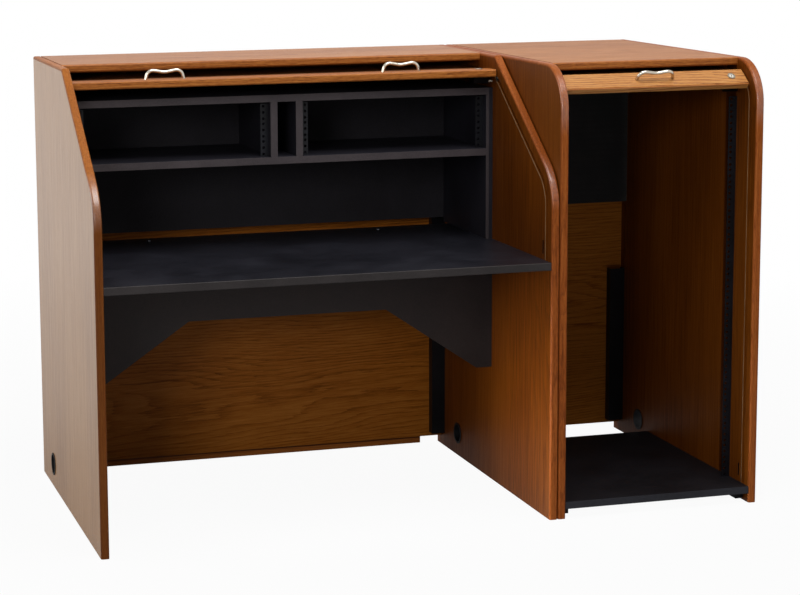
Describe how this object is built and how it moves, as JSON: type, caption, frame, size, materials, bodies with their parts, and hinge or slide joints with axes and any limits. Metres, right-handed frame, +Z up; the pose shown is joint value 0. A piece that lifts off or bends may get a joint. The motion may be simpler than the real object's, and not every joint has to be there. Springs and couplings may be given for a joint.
{
  "type": "roll-top equipment desk with rack tower",
  "caption": "Oak roll-top equipment desk with a black work surface and rack bays, beside a rack tower; slatted tambour curtains roll down over both fronts and lock.",
  "frame": {"origin": "centre of the footprint on the floor", "axes": "+X to the right along the fronts, +Y to the back, +Z up"},
  "size_m": [1.681, 0.84, 1.118],
  "materials": {
    "oak_panel": "satin lacquered oak veneer",
    "oak_edge": "satin lacquered solid oak, rounded",
    "oak_rail": "satin lacquered solid oak",
    "oak_slat": "satin lacquered oak slats",
    "black_laminate": "fine matt laminate",
    "laminate_edge": "smooth edge strip",
    "rail_steel": "black painted sheet steel",
    "satin_nickel": "satin nickel plate",
    "lock_nickel": "bright nickel plate",
    "curtain_canvas": "dark woven canvas",
    "black_plastic": "moulded satin plastic",
    "dark_nylon": "moulded nylon",
    "zinc_steel": "zinc plated steel"
  },
  "bodies": {
    "cabinets": {"desk_left_panel": "oak_panel", "desk_left_edge_band": "oak_edge", "desk_right_panel": "oak_panel", "desk_right_edge_band": "oak_edge", "desk_top_panel": "oak_panel", "desk_top_edge_band": "oak_edge", "desk_rear_panel": "oak_panel", "desk_toe_rail": "oak_panel", "work_surface": "black_laminate", "surface_screws": "zinc_steel", "work_surface_edge": "laminate_edge", "knee_apron": "black_laminate", "work_cleats": "black_laminate", "rack_top_board": "black_laminate", "rack_shelf": "black_laminate", "rack_left_side": "black_laminate", "rack_right_side": "black_laminate", "rack_left_divider": "black_laminate", "rack_right_divider": "black_laminate", "rack_back": "black_laminate", "desk_rack_rail_1": "rail_steel", "desk_rack_rail_2": "rail_steel", "desk_rack_rail_3": "rail_steel", "desk_rack_rail_4": "rail_steel", "desk_cable_channel": "black_plastic", "desk_stop_clips": "zinc_steel", "desk_curtain_slats": "oak_slat", "desk_curtain_canvas": "curtain_canvas", "tower_left_panel": "oak_panel", "tower_left_edge_band": "oak_edge", "tower_right_panel": "oak_panel", "tower_right_edge_band": "oak_edge", "tower_top_panel": "oak_panel", "tower_top_edge_band": "oak_edge", "tower_back_panel": "oak_panel", "tower_base_shelf": "black_laminate", "tower_base_cleats": "black_laminate", "tower_rack_rail_left": "rail_steel", "tower_rack_rail_right": "rail_steel", "tower_cable_channel": "black_plastic", "tower_curtain_slats": "oak_slat", "tower_curtain_canvas": "curtain_canvas", "cable_hole_liners": "black_plastic", "joining_bolts": "zinc_steel"},
    "desk_guides": {"desk_curtain_pins": "dark_nylon"},
    "desk_buttons": {"desk_lead_buttons": "dark_nylon"},
    "desk_lead": {"desk_lead_rail": "oak_rail", "desk_left_pull": "satin_nickel", "desk_right_pull": "satin_nickel", "desk_lock_case": "lock_nickel", "desk_lock_bolt": "lock_nickel"},
    "desk_key_plug": {"desk_lock_plug": "lock_nickel"},
    "tower_buttons": {"tower_lead_buttons": "dark_nylon"},
    "tower_lead": {"tower_lead_rail": "oak_rail", "tower_pull": "satin_nickel", "tower_lock_case": "lock_nickel", "tower_lock_bolt": "lock_nickel"},
    "tower_key_plug": {"tower_lock_plug": "lock_nickel"}
  },
  "joints": [
    {"name": "desk_curtain_slide", "type": "slide", "parent": "cabinets", "child": "desk_guides", "axis": [0, -0.8198, -0.5726], "range_m": [0, 0.366], "deforming": ["desk_curtain_slats", "desk_curtain_canvas"]},
    {"name": "desk_lead_drop", "type": "slide", "parent": "desk_guides", "child": "desk_buttons", "axis": [0, -0.3432, -0.9393], "range_m": [0, 0.204]},
    {"name": "desk_lead_turn", "type": "hinge", "parent": "desk_buttons", "child": "desk_lead", "pos_m": [-0.2685, -0.014, 1.074], "axis": [1, 0, 0], "range_deg": [0, 90.1]},
    {"name": "desk_key_turn", "type": "hinge", "parent": "desk_lead", "child": "desk_key_plug", "pos_m": [0.2415, -0.014, 1.074], "axis": [0, 0, 1], "range_deg": [0, 90]},
    {"name": "tower_curtain_slide", "type": "slide", "parent": "cabinets", "child": "tower_buttons", "axis": [0, -0.0322, -0.9995], "range_m": [0, 0.9946], "deforming": ["tower_curtain_slats", "tower_curtain_canvas"]},
    {"name": "tower_lead_turn", "type": "hinge", "parent": "tower_buttons", "child": "tower_lead", "pos_m": [0.571, -0.35198, 1.06709], "axis": [1, 0, 0], "range_deg": [0, 55.1]},
    {"name": "tower_key_turn", "type": "hinge", "parent": "tower_lead", "child": "tower_key_plug", "pos_m": [0.7785, -0.35198, 1.06709], "axis": [0, -0.5736, 0.8192], "range_deg": [0, 90]}
  ],
  "couplings": [
    {"joint": "desk_lead_drop", "follows": "desk_curtain_slide", "ratio": 0.55682},
    {"joint": "desk_lead_turn", "follows": "desk_curtain_slide", "rad_per_m": 4.2918},
    {"joint": "tower_lead_turn", "follows": "tower_curtain_slide", "rad_per_m": 0.96514}
  ]
}
